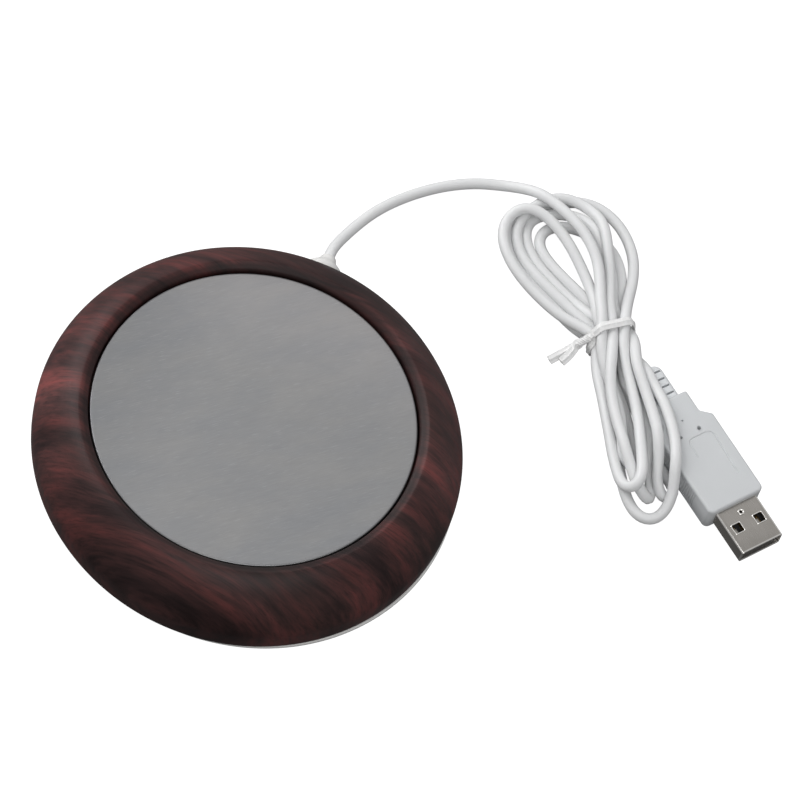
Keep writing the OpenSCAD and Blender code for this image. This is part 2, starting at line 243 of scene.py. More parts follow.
def join(name, objs, sharp=34.0):
    bm = bmesh.new()
    for o in objs:
        bm.from_mesh(o.data)
    me = bpy.data.meshes.new(name)
    bm.to_mesh(me)
    bm.free()
    for o in objs:
        d = o.data
        bpy.data.objects.remove(o)
        bpy.data.meshes.remove(d)
    finish_shading(me, sharp)
    return new_object(name, me)


# ---------------------------------------------------------------- frames of the hank and the plug
HC, HS = math.cos(math.radians(51.7)), math.sin(math.radians(51.7))
PC, PS = math.cos(math.radians(38.3)), math.sin(math.radians(38.3))


def hank(s, t, z):
    return (38.9 + s * HC + t * HS, 98.2 - s * HS + t * HC, z)


def to_hank(p):
    d = p - np.array([38.9, 98.2, 0.0])
    return np.stack([d[:, 0] * HC - d[:, 1] * HS, d[:, 0] * HS + d[:, 1] * HC, d[:, 2]], axis=1)


def from_hank(h):
    return np.stack([38.9 + h[:, 0] * HC + h[:, 1] * HS, 98.2 - h[:, 0] * HS + h[:, 1] * HC, h[:, 2]], axis=1)


def plug(a, w, z):
    return (115.4 + a * PC + w * PS, 35.6 - a * PS + w * PC, z)


def to_plug(p):
    d = p - np.array([115.4, 35.6, 0.0])
    return np.stack([d[:, 0] * PC - d[:, 1] * PS, d[:, 0] * PS + d[:, 1] * PC, d[:, 2]], axis=1)


# ---------------------------------------------------------------- cord: one line from the gland to the plug
CORD_D = 2.8
start = [(0, 52.05, 6.5), (0, 54.8, 6.5), (-0.1, 57, 6.45)]
lead = [
    (-0.5, 58.8, 6.3), (-0.3, 60.3, 5.9), (0.1, 62.2, 5.3), (0.6, 64.1, 4.6), (1.0, 66, 4.0), (1.5, 67.9, 3.4),
    (2.1, 69.8, 2.8), (3.7, 74.1, 2.0), (5.1, 76.4, 1.6), (6.4, 78.8, 1.4), (7.8, 80.8, 1.4), (10.8, 84.4, 1.4),
    (13.9, 87.7, 1.4), (18.9, 92, 1.4), (22.4, 94.3, 1.4), (26, 96.3, 1.5), (29.7, 97.8, 1.9), (33.5, 98.7, 2.9),
    (37.5, 98.7, 4.6), (41.5, 97.7, 6.6), (44.7, 96.5, 7.8), (48.3, 94.8, 8.8), (52.2, 92.7, 9.4), (55.9, 90.2, 9.6),
    (59.5, 87, 9.4), (62.4, 82.9, 9.0), (64.6, 78.2, 8.6), (66.3, 72.9, 8.4),
]
# Passes of the hank, in its own frame: along it, across it, height. Lower loops first.
loop_d = [
    (47.9, 2.4, 7.2), (51.5, 2.2, 6.6), (55.2, 2.3, 6.2), (59.1, 2.3, 5.8), (62.5, 2.2, 5.4), (66.2, 1.9, 5.2),
    (70.5, 0.9, 5.2), (73.6, -0.6, 5.6), (76.2, -1.3, 5.8), (78.3, -0.7, 5.0), (79.1, 0.7, 3.5), (78.3, 2.1, 2.0),
    (76.2, 2.7, 1.4), (73.0, 3.1, 1.4), (70, 3.4, 1.5), (64, 4.4, 2.0), (58.5, 5.0, 2.0), (53.5, 5.2, 2.0), (48.6, 5.3, 2.3),
]
loop_f = [
    (48.9, 9.4, 5.9), (52.6, 9.9, 7.0), (56.7, 10.6, 8.1), (60.9, 11.4, 8.4), (65.2, 11.8, 8.9), (69.6, 11.9, 9.4),
    (74.4, 11.6, 9.5), (78.7, 10.9, 9.5), (82.8, 9.6, 9.2), (86.3, 8.5, 7.6), (89.2, 7.2, 5.0), (91.8, 4.9, 2.9),
    (93.5, 2.0, 1.8), (93.1, -0.6, 1.4), (90.2, -2.4, 1.4), (85.5, -2.9, 1.4), (80.6, -2.5, 1.4), (75.4, -1.7, 1.4),
    (69.4, -0.7, 1.4), (62.9, 0.5, 1.4), (56.3, 1.6, 1.4), (50.3, 2.2, 1.8), (46.5, 2.4, 2.3),
]
loop_c = [
    (47.6, 7.4, 4.9), (52.7, 7.8, 4.8), (58.2, 8.5, 4.7), (64.4, 8.4, 4.7), (70.4, 7.5, 4.5), (76.3, 6.2, 3.3),
    (80.5, 5.0, 2.0), (83.2, 4.6, 1.5), (85.3, 4.3, 1.4), (87.6, 3.6, 2.1), (88.6, 1.95, 3.75), (87.6, 0.3, 5.4),
    (85.3, -0.4, 6.1), (82.8, -0.7, 6.5), (80.0, -1.0, 7.1), (76.0, -1.0, 8.0), (72.0, -0.7, 8.1), (66.0, -0.2, 8.0), (60.3, 0.8, 8.0), (55.2, 2.2, 8.1),
    (50.0, 3.8, 8.2),
]
loop_a = [
    (47.1, 2.0, 4.5), (52.8, 0.9, 4.0), (58.8, -0.2, 4.2), (65.2, -1.5, 4.4), (71.8, -2.5, 4.6), (78.0, -3.3, 4.8),
    (82.0, -3.9, 5.3), (84.9, -3.9, 6.1), (86.6, -2.4, 7.6), (85.2, -0.5, 8.8), (81.4, 1.1, 8.9), (77.6, 2.5, 8.5),
    (72.2, 4.2, 7.8), (67.0, 5.4, 7.8), (61.4, 6.2, 7.8), (55.8, 6.9, 7.8), (50.4, 7.8, 8.0),
]
loop_e = [
    (51.9, 9.8, 9.0), (57.0, 9.0, 10.0), (62.4, 8.6, 10.0), (68.0, 8.2, 9.6), (73.7, 7.9, 9.0), (78.6, 7.2, 7.8),
    (82.8, 6.0, 5.4), (84.0, 4.4, 3.8), (86.0, 4.05, 2.4), (87.6, 4.7, 1.6), (88.6, 6.0, 1.4), (88.6, 7.8, 1.4), (87.6, 9.2, 1.4),
    (86.0, 9.85, 1.4), (82.4, 9.2, 1.4), (79.2, 7.7, 1.4), (75.5, 6.7, 1.4), (71.5, 7.2, 1.4), (66.5, 7.3, 1.4), (61, 7.2, 1.4),
    (55.8, 7.1, 1.5), (48.4, 7.6, 2.3),
]
head_m = [
    (35.8, 6.2, 5.4), (30.7, 6.0, 5.8), (25.1, 5.7, 6.2), (20.0, 5.0, 6.8), (15.6, 4.0, 7.2), (11.4, 2.5, 7.2),
    (7.7, 0.3, 6.8), (5.4, -2.8, 6.0), (5.4, -6.3, 5.0), (8.3, -9.1, 4.4), (12.6, -10.5, 4.2), (17.3, -10.5, 4.2),
    (22.2, -9.5, 4.2), (27.4, -7.6, 4.4), (32.9, -5.0, 4.8), (37.8, -2.2, 5.2), (41.2, 0.5, 5.4),
]
head_3 = [
    (36.2, 10.5, 4.4), (30.8, 12.8, 4.2), (25.2, 13.9, 4.2), (19.8, 14.2, 4.0), (15.4, 13.7, 3.6), (12.0, 12.5, 3.4),
    (9.4, 10.7, 3.2), (8.0, 8.2, 3.2), (6.9, 5.4, 3.0), (6.1, 2.5, 2.8), (6.4, -0.5, 2.4), (8.0, -2.6, 1.9),
    (11.1, -3.9, 1.7), (14.9, -4.1, 1.7), (18.9, -3.3, 1.7), (23.5, -1.7, 1.8), (28.3, 0.6, 2.2), (33.3, 3.0, 2.8),
]
head_1 = [
    (37.6, 8.3, 7.8), (32.0, 10.6, 7.2), (26.3, 12.5, 6.6), (20.9, 13.7, 6.0), (15.8, 14.2, 5.6), (11.4, 14.2, 5.2),
    (7.9, 13.1, 4.8), (5.5, 10.9, 4.6), (3.9, 8.3, 4.4), (3.4, 5.3, 4.2), (3.8, 2.2, 4.0), (4.4, -0.9, 3.6),
    (5.9, -3.7, 3.2), (8.7, -6.0, 2.9), (12.3, -7.0, 2.8), (16.3, -7.2, 2.8), (20.7, -6.3, 2.8), (25.0, -4.6, 3.0),
    (29.4, -2.1, 3.2), (34.5, 0.6, 3.2), (38.8, 3.0, 3.0),
]
head_2 = [
    (38.7, 12.5, 6.8), (34.0, 15.6, 5.6), (28.9, 18.5, 4.2), (23.7, 20.6, 3.0), (18.3, 21.3, 2.2), (13.4, 20.5, 1.7),
    (9.0, 18.5, 1.5), (5.9, 15.5, 1.5), (4.2, 12.0, 1.5), (3.9, 7.8, 1.5), (4.1, 3.7, 1.4), (4.3, -0.4, 1.4),
    (5.5, -4.6, 1.4), (8.3, -7.7, 1.4), (11.8, -9.2, 1.4), (16.5, -9.2, 1.4), (21.5, -7.9, 1.4), (26.4, -5.8, 1.4),
    (31.8, -3.2, 1.6), (37.0, -0.7, 2.0), (40.5, 1.1, 2.4),
]
head_4 = [
    (36.0, 12.2, 3.4), (31.1, 14.4, 3.6), (25.7, 15.7, 3.8), (20.9, 15.8, 3.6), (17.2, 14.7, 3.4), (14.3, 12.8, 3.2),
    (12.4, 10.2, 3.0), (11.1, 7.5, 2.8), (10.4, 4.5, 2.8), (10.4, 1.8, 2.8), (12.0, -0.4, 2.8), (15.0, -1.6, 2.8),
    (18.6, -1.3, 2.8), (22.4, 0.1, 2.8), (26.7, 1.8, 3.0), (31.2, 3.5, 3.4), (35.4, 5.2, 3.8),
]


def waist(t, z):
    return [(43.8, t, z)]


passes = (
    waist(4.2, 8.2) + loop_d + waist(5.2, 2.8) + head_1[::-1] + waist(7.0, 8.2) + loop_c[::-1] + waist(5.3, 5.5)
    + head_m + waist(2.4, 5.4) + loop_a + waist(10.3, 8.2) + head_2 + waist(2.4, 2.7) + loop_f[::-1]
    + waist(8.2, 5.4) + head_3[::-1] + waist(10.9, 5.5) + loop_e + waist(8.0, 2.7) + head_4[::-1]
    + waist(10.9, 2.8) + [(47.5, 10.3, 3.2), (51.0, 10.8, 3.7)]
)
tail = [plug(a, 0, 4) for a in (-43, -40, -37, -34, -31, -28, -25, -22, -19, -16, -13)]
TAIL_FIXED = 20


def keep_off_plug(x, r):
    """Pushes the cord's line out of the plug's body and boot."""
    h = to_plug(x)
    for a0, a1, half in ((-25.0, 2, 8.0), (-32.0, -25.0, 5.5)):
        m = (h[:, 0] > a0 - 0.2) & (h[:, 0] < a1 + 0.2) & (np.abs(h[:, 1]) < half + r) & (h[:, 2] < 8 + r)
        m[-TAIL_FIXED:] = False
        s = np.where(h[:, 1] < 0, -1.0, 1.0)
        side = half + r - np.abs(h[:, 1])
        over = 8 + r - h[:, 2]
        up = m & (over < side)
        sd = m & ~up
        h[up, 2] += 0.5 * over[up]
        h[sd, 1] += 0.5 * (s * side)[sd]
    m = (h[:, 0] > -42.0) & (h[:, 0] < -31.8)
    m[-TAIL_FIXED:] = False
    side = h[:, 1] - np.clip(h[:, 1], -1.3, 1.3)
    d = np.hypot(side, h[:, 2] - 4)
    m &= d < 2.85 + r
    k = np.where(m, 0.5 * (2.85 + r - d) / np.maximum(d, 1e-6), 0)
    h[:, 2] += k * (h[:, 2] - 4)
    h[:, 1] += k * side
    return np.stack([115.4 + h[:, 0] * PC + h[:, 1] * PS, 35.6 - h[:, 0] * PS + h[:, 1] * PC, h[:, 2]], axis=1)


def squeeze(x, r, t0=1.0, t1=12.6, z0=1.3, z1=9.8):
    """The tie's band gathers the runs at the waist."""
    h = to_hank(x)
    m = (h[:, 0] > 42.6) & (h[:, 0] < 45.0)
    for k, lo, hi in ((1, t0 + r, t1 - r), (2, z0 + r, z1 - r)):
        c = h[:, k]
        c = np.where(m & (c < lo), c + 0.6 * (lo - c), c)
        h[:, k] = np.where(m & (c > hi), c + 0.6 * (hi - c), c)
    return from_hank(h)


def settle(x, d, rounds):
    """Lays the line down as a real cord: it doesn't pass through itself, the table or the plug, and it stays smooth."""
    a, r, n = x.copy(), d / 2, len(x)
    rest = np.linalg.norm(np.diff(x, axis=0), axis=1)[:, None]
    idx = np.arange(n)
    near = np.abs(idx[:, None] - idx[None, :]) < 5

    def lap(y):
        l = np.zeros_like(y)
        l[1:-1] = 0.5 * (y[:-2] + y[2:]) - y[1:-1]
        return l

    for _ in range(rounds):
        g = x @ x.T
        q = np.diag(g)
        d2 = q[:, None] + q[None, :] - 2 * g
        d2[near] = 1e9
        i, j = np.nonzero(d2 < d * d)
        v = x[i] - x[j]
        dist = np.maximum(np.linalg.norm(v, axis=1), 1e-6)
        push = np.zeros_like(x)
        np.add.at(push, i, v * ((d - dist) / dist)[:, None])
        count = np.maximum(np.bincount(i, minlength=n), 1)[:, None]
        back = (a - x) * 0.02
        back[:, 2] *= 0.5
        x = x + 0.35 * push / np.sqrt(count) + back
        x[:, 2] -= 0.01
        x = squeeze(keep_off_plug(x, r), r)
        for _ in range(3):
            l = lap(x)
            b = np.zeros_like(x)
            b[2:-2] = l[2:-2] - 0.5 * (l[1:-3] + l[3:-1])
            x = x + 0.22 * b
        l = lap(x)
        k = np.linalg.norm(l, axis=1)
        x = x + 0.6 * np.clip((k - 0.38) / np.maximum(k, 1e-6), 0, 1)[:, None] * l
        e = x[1:] - x[:-1]
        s = np.linalg.norm(e, axis=1)[:, None]
        c = 0.25 * (s - rest) / np.maximum(s, 1e-6) * e
        x[:-1] += c
        x[1:] -= c
        x[:, 2] = np.maximum(x[:, 2], r)
        x[:4], x[-TAIL_FIXED:] = a[:4], a[-TAIL_FIXED:]
    return x


line = catmull(start + lead + [hank(*p) for p in passes] + tail, 1.5)
line = settle(line, CORD_D, 260)
dense = catmull(line, 0.9)
cord = sweep("cord", dense, circle(CORD_D / 2, 22), side=(0, 0, 1), sharp=60)

# ---------------------------------------------------------------- wood-look ring
crest, belly = np.array([42.2, 22.0]), np.array([52.1, 8.4])
arm1, arm2 = crest + np.array([4.65, -0.94]), belly + np.array([0, 4.1])


def flank(t):
    return (1 - t) ** 3 * crest + 3 * (1 - t) ** 2 * t * arm1 + 3 * (1 - t) * t * t * arm2 + t**3 * belly


def flank_in(t, wall=2.0):
    d = flank(t + 1e-4) - flank(t - 1e-4)
    return flank(t) + wall * np.array([d[1], -d[0]]) / np.linalg.norm(d)


outer = [tuple(flank(t)) for t in np.linspace(0, 1, 40)]
inner = [tuple(flank_in(t)) for t in np.linspace(1, 0.12, 24)]
inner = [p for p in inner if 2.85 < p[1] < 15.1]
bore = [(36.0, 15.2), (36.0, 17.0), (40.0, 17.0), (40.0, 20.3), (40.03, 20.55), (40.12, 20.8), (40.27, 21.0), (40.5, 21.18),
        (40.8, 21.35), (41.15, 21.53), (41.45, 21.68), (41.7, 21.81), (41.9, 21.91), (42.05, 21.97)]
foot = [(52.09, 7.4), (52.07, 6.2), (52.03, 5.0), (51.97, 4.2), (51.87, 3.5), (51.7, 3.08), (51.48, 2.87), (51.2, 2.8), (50.1, 2.8)]
section = bore + outer + foot + inner
ring = revolve("wood_ring_body", section, n=360, sharp=38)


def cyl(name, x, y, z0, z1, r, n=40):
    p = [(r * math.cos(2 * math.pi * k / n), r * math.sin(2 * math.pi * k / n)) for k in range(n)]
    return prism(name, p, z0, z1, lambda a, b, c: (x + a, y + b, c))


posts = []
for a in (30, 150, 270):
    x, y = 44.2 * math.cos(math.radians(a)), 44.2 * math.sin(math.radians(a))
    post = cyl("post", x, y, 5.2, 15.4, 2.8)
    posts.append(cut(post, cyl("bore", x, y, 5.1, 13.2, 1.25, 28)))
for a in (45, 135, 225, 315):
    x, y = 38.8 * math.cos(math.radians(a)), 38.8 * math.sin(math.radians(a))
    post = cyl("boss", x, y, 14.2, 15.4, 2.4)
    posts.append(cut(post, cyl("bore", x, y, 14.1, 15.3, 1.05, 28)))


def along_y(y0, y1, r, n=48):
    p = [(r * math.cos(2 * math.pi * k / n), r * math.sin(2 * math.pi * k / n)) for k in range(n)]
    return prism("along_y", p, y0, y1, lambda a, b, c: (a, c, 6.5 + b))


# the outer wall is a little fuller towards the right front
for v in ring.data.vertices:
    r, a = math.hypot(v.co.x, v.co.y), math.atan2(v.co.y, v.co.x)
    k = 0.85 * MM * min(1.0, max(0.0, (r / MM - 42.2) / 9.9)) * max(0.0, math.cos(a + math.radians(37))) ** 1.5
    v.co.x, v.co.y = v.co.x * (r + k) / r, v.co.y * (r + k) / r

slot_box = prism("slot_box", [(-2.9, 46), (2.9, 46), (2.9, 56), (-2.9, 56)], 2.0, 6.5, lambda a, b, c: (a, b, c))
cut(ring, along_y(46, 56, 2.9), slot_box, sharp=38)
ring = join("wood_ring_body", [ring] + posts, sharp=38)

# ---------------------------------------------------------------- heating plate: pressed disc with a rolled, polished edge
plate = revolve(
    "plate_disc",
    [(0, 19.0), (38.3, 19.0), (38.3, 17.75), (38.4, 17.7), (39.4, 17.7), (39.5, 17.8), (39.5, 19.93), (39.48, 20.02), (39.43, 20.1),
     (39.36, 20.15), (39.27, 20.185), (39.15, 20.2), (38.6, 20.2), (30, 20.2), (20, 20.2), (10, 20.2), (0, 20.2)],
    n=256, closed=False, sharp=60)

# ---------------------------------------------------------------- bottom shell
base = revolve(
    "bottom_shell",
    [(0, 1.45), (22, 1.45), (22.05, 1.25), (22.2, 1.2), (50.3, 1.2), (50.75, 1.26), (51.05, 1.45), (51.2, 1.75), (51.2, 2.65),
     (51.1, 2.8), (49.5, 2.8), (49.5, 5.6), (49.2, 6.0), (48.1, 6.0), (47.9, 5.8), (47.9, 2.8), (0, 2.8)],
    n=256, closed=False)
tools = []
for a in (45, 135, 225, 315):
    tools.append(cyl("t", 38 * math.cos(math.radians(a)), 38 * math.sin(math.radians(a)), -1, 2.0, 4.6, 48))
gate = prism("gate", [(-5, 40), (5, 40), (5, 52), (-5, 52)], 2.8, 9, lambda a, b, c: (a, b, c))
cut(base, gate, *tools)
extra = []
for a in (30, 150, 270):
    x, y = 44.2 * math.cos(math.radians(a)), 44.2 * math.sin(math.radians(a))
    extra.append((x, y))
screw_tools = []
for x, y in extra:
    screw_tools += [cyl("t", x, y, -1, 2.9, 2.6)]
cut(base, *screw_tools)
cups = []
for x, y in extra:
    cup = cyl("cup", x, y, 2.7, 5.2, 3.8)
    cups.append(cut(cup, cyl("t", x, y, 2.0, 3.6, 2.6), cyl("t", x, y, 3.0, 7.0, 1.45, 28)))
for sx in (-6.5, 6.5):
    p = cyl("clamp_post", sx, 36, 2.7, 7.9, 2.5)
    cups.append(cut(p, cyl("t", sx, 36, 4, 9, 0.95, 28)))
saddle = prism("saddle", [(-3, 34), (3, 34), (3, 38), (-3, 38)], 2.7, 5.1, lambda a, b, c: (a, b, c))
cups.append(cut(saddle, along_y(33, 39, 1.42)))
seat = prism("seat", [(-2.8, 49.8), (2.8, 49.8), (2.8, 51), (-2.8, 51)], 2.7, 5.0, lambda a, b, c: (a, b, c))
cups.append(cut(seat, along_y(49, 52, 2.85)))
base = join("bottom_shell", [base] + cups)
# the rim is flush with the ring at the back and shows past it towards the right front
for v in base.data.vertices:
    r, a = math.hypot(v.co.x, v.co.y), math.atan2(v.co.y, v.co.x)
    if r > 50.0 * MM and v.co.z < 2.9 * MM:
        k = (2.3 * max(0.0, math.cos(a + math.radians(22))) ** 1.3 - 0.5) * MM * min(1.0, (r / MM - 49.9) / 1.3)
        v.co.x, v.co.y = v.co.x * (r + k) / r, v.co.y * (r + k) / r

# ---------------------------------------------------------------- gland
def about_y(x, y, z):
    return (x, z, 6.5 + y)


gland = revolve(
    "gland_body",
    [(1.42, 47.6), (3.4, 47.6), (3.6, 47.8), (3.6, 49.0), (3.4, 49.15), (2.8, 49.2), (2.8, 51.0), (4.55, 51.0), (4.8, 51.4),
     (4.8, 52.4), (4.76, 52.85), (4.6, 53.3), (4.3, 53.72), (3.9, 54.12), (3.45, 54.5), (3.0, 54.9), (2.6, 55.35),
     (2.3, 55.85), (2.08, 56.35), (1.92, 56.8), (1.78, 57.0), (1.42, 57.0)],
    n=72, place=about_y, sharp=45)
hull = revolve(
    "hull",
    [(45, 2.0), (51.2, 2.0)] + [(r + 0.02, z) for r, z in (foot[:8][::-1])] + [(r + 0.02, z) for r, z in outer[::-1]] + [(45, 22.0)],
    n=360)
# The neck passes the wall's slot; the flare starts at the wall's outer face.
flare = cut(gland, hull, sharp=45)
neck = revolve(
    "neck",
    [(1.42, 47.6), (3.4, 47.6), (3.6, 47.8), (3.6, 49.0), (3.4, 49.15), (2.8, 49.2), (2.8, 53.0), (1.42, 53.0)],
    n=72, place=about_y, sharp=45)
gland = join("gland_body", [flare, neck], sharp=45)

# ---------------------------------------------------------------- twist tie
h = to_hank(line)
at_waist = h[(np.abs(h[:, 0] - 43.8) < 1.2)][:, 1:]


def around(angle, off):
    u = np.array([math.cos(angle), math.sin(angle)])
    c = at_waist[np.argmax(at_waist @ u)]
    p = c + u * off
    return p[0], p[1]


tie_path, tie_side = [], []


def tie_add(p, side):
    tie_path.append(np.array(p, float))
    tie_side.append(np.array(side, float))


# one ribbon: first tail, one leg of the twisted neck, round the bundle, other leg, second tail
neck_from, neck_to = np.array([44.3, 1.5, 7.2]), np.array([44.3, -1.9, 4.3])
neck_dir = unit(neck_to - neck_from)
neck_x = unit(np.cross(neck_dir, np.array([0, 0, 1.0])))
neck_y = np.cross(neck_dir, neck_x)


def leg(phase, steps=14, turns=1.25, r=0.7):
    out = []
    for k in range(steps + 1):
        f = k / steps
        a = phase + 2 * math.pi * turns * f
        c = neck_from + (neck_to - neck_from) * f
        radial = neck_x * math.cos(a) + neck_y * math.sin(a)
        out.append((c + radial * r, np.cross(neck_dir, radial)))
    return out


leg_a, leg_b = leg(0.2), leg(0.2 + math.pi)
tail_a = [(44.6, -3.4, 3.6), (44.9, -5.0, 2.9), (45.3, -7.2, 2.2), (45.9, -9.6, 1.9)]
tail_b = [(45.0, -2.9, 3.7), (45.7, -3.9, 3.4), (46.6, -5.2, 3.1), (47.6, -7.2, 3.0)]
ends = {}
for key, tl, lg in (("a", tail_a, leg_a), ("b", tail_b, leg_b)):
    pts = [np.array(p) for p in tl[::-1]]
    flat = [unit(np.cross(unit(np.array(tl[i + 1] if i + 1 < len(tl) else tl[i], float) - np.array(tl[i] if i + 1 < len(tl) else tl[i - 1], float)),
                          np.array([0.25, 0, 1.0]))) for i in range(len(tl))][::-1]
    ends[key] = (pts, flat, lg)
for p, f in zip(ends["a"][0], ends["a"][1]):
    tie_add(p, f)
for p, s in leg_a[::-1]:
    tie_add(p, s)
off = CORD_D / 2 + 0.42
n_loop = 64
for k in range(n_loop + 1):
    f = k / n_loop
    ang = math.radians(168 - 6 - 348 * f)
    t, z = around(ang, off)
    s = 44.15 - 0.55 * math.sin(math.pi * min(1, f * 2)) if f < 0.5 else 44.15 + 1.7 * math.sin(math.pi * (f - 0.5) * 1.15)
    tie_add((s, t, max(z, 0.75)), (1, 0, 0))
for p, s in leg_b:
    tie_add(p, s)
for p, f in zip(ends["b"][0][::-1], ends["b"][1][::-1]):
    tie_add(p, f)
# keep the ribbon's side vector from flipping
for k in range(1, len(tie_side)):
    if tie_side[k] @ tie_side[k - 1] < 0:
        tie_side[k] = -tie_side[k]
tp = np.array(tie_path)
ts = np.array(tie_side)
sd = np.r_[0, np.cumsum(np.linalg.norm(np.diff(tp, axis=0), axis=1))]
keep = np.r_[True, np.diff(sd) > 0.12]
tp, ts, sd = tp[keep], ts[keep], sd[keep]
u = np.linspace(0, sd[-1], int(sd[-1] / 0.3))
tp = np.stack([np.interp(u, sd, tp[:, k]) for k in range(3)], axis=1)
ts = np.stack([np.interp(u, sd, ts[:, k]) for k in range(3)], axis=1)
for _ in range(6):
    tp[1:-1] = 0.25 * tp[:-2] + 0.5 * tp[1:-1] + 0.25 * tp[2:]
    ts[1:-1] = 0.25 * ts[:-2] + 0.5 * ts[1:-1] + 0.25 * ts[2:]
world_p = from_hank(tp)
world_s = np.stack([ts[:, 0] * HC + ts[:, 1] * HS, -ts[:, 0] * HS + ts[:, 1] * HC, ts[:, 2]], axis=1)
ribbon = []
for a in range(0, 360, 15):
    c, s = math.cos(math.radians(a)), math.sin(math.radians(a))
    x = 1.15 * (abs(c) ** 0.55) * (1 if c > 0 else -1)
    y = 0.2 * (abs(s) ** 0.6) * (1 if s > 0 else -1)
    core = math.sqrt(max(0.0, 0.5**2 - x * x))
    y = (1 if s >= 0 else -1) * max(abs(y), core) if abs(c) < 0.75 else y
    ribbon.append((x, y))
tie = sweep("tie_ribbon", world_p, ribbon, sides=world_s, sharp=50)

# ---------------------------------------------------------------- plug: moulded body
body_plan = [(0, -8.0), (0, 8.0), (-23.4, 8.0), (-25.6, 5.4), (-31.8, 5.4), (-31.8, -5.4), (-25.6, -5.4), (-23.4, -8.0)]
body = prism("plug_body", fillet(body_plan, [1.5, 1.5, 0.9, 0.9, 0.7, 0.7, 0.9, 0.9], 6), 0, 8, plug)
bevelled(body, 1.0, 6, angle=50, sharp=40)


def plug_box(a0, a1, w0, w1, z0, z1, name="t"):
    return prism(name, [(a0, w0), (a1, w0), (a1, w1), (a0, w1)], z0, z1, plug)


def along_a(a0, a1, r, n=44, w=0.0, z=4.0):
    p = [(r * math.cos(2 * math.pi * k / n), r * math.sin(2 * math.pi * k / n)) for k in range(n)]
    return prism("t", p, a0, a1, lambda x, y, c: plug(c, w + x, z + y))


def plug_cyl(a, w, z0, z1, r, n=24):
    p = [(a + r * math.cos(2 * math.pi * k / n), w + r * math.sin(2 * math.pi * k / n)) for k in range(n)]
    return prism("t", p, z0, z1, plug)


frame_line = fillet([(-14.6, -2.2), (-14.7, -2.25), (-19.6, -2.1), (-19.6, 5.0), (-6.3, 4.35), (-6.2, 4.3)], [0, 0, 1.6, 1.7, 0, 0], 6)
fp = []
for i in range(len(frame_line) - 1):
    p, q = np.array(frame_line[i]), np.array(frame_line[i + 1])
    m = max(1, int(np.linalg.norm(q - p) / 0.8))
    fp += [tuple(p + (q - p) * k / m) for k in range(m)]
fp.append(frame_line[-1])
groove = sweep("groove", [plug(a, w, 8.06) for a, w in fp], circle(0.26, 10), side=(0, 0, 1))
marks = [plug_cyl(-21.33, 2.43, 6.2, 9, 0.5), plug_cyl(-24.9, -0.26, 7.5, 9, 0.3), plug_cyl(-21.1, -3.06, 6.6, 9, 0.38)]
ridges = []
for side in (-1, 1):
    for k in range(17):
        ridges.append(plug_cyl(-19.4 + k * 0.8, side * 8.12, 1.3, 6.7, 0.3, 12))
cut(body, groove, *marks, *ridges, plug_box(-6.5, 8, -6.02, 6.02, 1.73, 6.27), plug_box(-13, -6, -5, 5, 2, 6),
    along_a(-33, -12, CORD_D / 2 + 0.02), sharp=38)
# raised lip round the ejector mark
lip = sweep("lip", [plug(-21.33 + 0.66 * math.cos(t), 2.43 + 0.66 * math.sin(t), 8.0) for t in np.linspace(0, 2 * math.pi, 25)[:-1]],
            circle(0.12, 8), side=(0, 0, 1), closed=True)
body = join("plug_body", [body, lip], sharp=38)

# ---------------------------------------------------------------- plug: slotted boot
def rounded(w, h, r, steps=5):
    return fillet([(-w, -h), (w, -h), (w, h), (-w, h)], r, steps)


boot_verts, boot_faces, boot_levels = [], [], []
for d in (0.0, 0.12, 0.3, 0.6, 1.0, 1.5, 2.0):
    wide = 2.1 + math.sqrt(max(0.0, 4.0 - (2.0 - d) ** 2))
    high = 2.0 + 0.75 * math.sqrt(max(0.0, 1.0 - (1.0 - min(d, 1.0)) ** 2))
    boot_levels.append((-41.8 + d, wide, high))
boot_levels += [(-38.0, 4.08, 2.78), (-35.0, 4.06, 2.8), (-31.75, 4.05, 2.8)]
for a, wide, high in boot_levels:
    boot_verts += [plug(a, x, 4 + y) for x, y in rounded(wide, high, min(high, wide) * 0.62, 7)]
m = len(boot_verts) // len(boot_levels)
for i in range(len(boot_levels) - 1):
    boot_faces += [[i * m + k, i * m + (k + 1) % m, (i + 1) * m + (k + 1) % m, (i + 1) * m + k] for k in range(m)]
boot_faces += [list(range(m))[::-1], [(len(boot_levels) - 1) * m + k for k in range(m)]]
boot = build("boot", boot_verts, boot_faces, 45)
slits = [along_a(-43, -31, CORD_D / 2 + 0.02)]
for k, a in enumerate((-39.7, -37.55, -35.4, -33.3)):
    for w0, w1 in (((-3.1, 3.0),) if k % 2 == 0 else ((-3.1, -0.75), (0.75, 3.0))):
        for z0, z1 in ((5.5, 8.0), (0.0, 2.5)):
            slits.append(plug_box(a - 0.27, a + 0.27, w0, w1, z0, z1))
cut(boot, *slits, sharp=45)

# ---------------------------------------------------------------- plug: folded metal shell
def shell_tube(name, w, h, r, a0, a1, lips=()):
    sec = rounded(w, h, r)
    levels = [(a0, 0.0)] + (list(lips) or [(a1, 0.0)])
    verts, faces = [], []
    m = len(sec)
    for a, inset in levels:
        k = [rounded(w - inset, h - inset, max(r - inset, 0.05))]
        verts += [plug(a, x, 4 + y) for x, y in k[0]]
    for i in range(len(levels) - 1):
        for k in range(m):
            l = (k + 1) % m
            faces.append([i * m + k, i * m + l, (i + 1) * m + l, (i + 1) * m + k])
    faces.append(list(range(m))[::-1])
    faces.append([(len(levels) - 1) * m + k for k in range(m)])
    return build(name, verts, faces, 38)


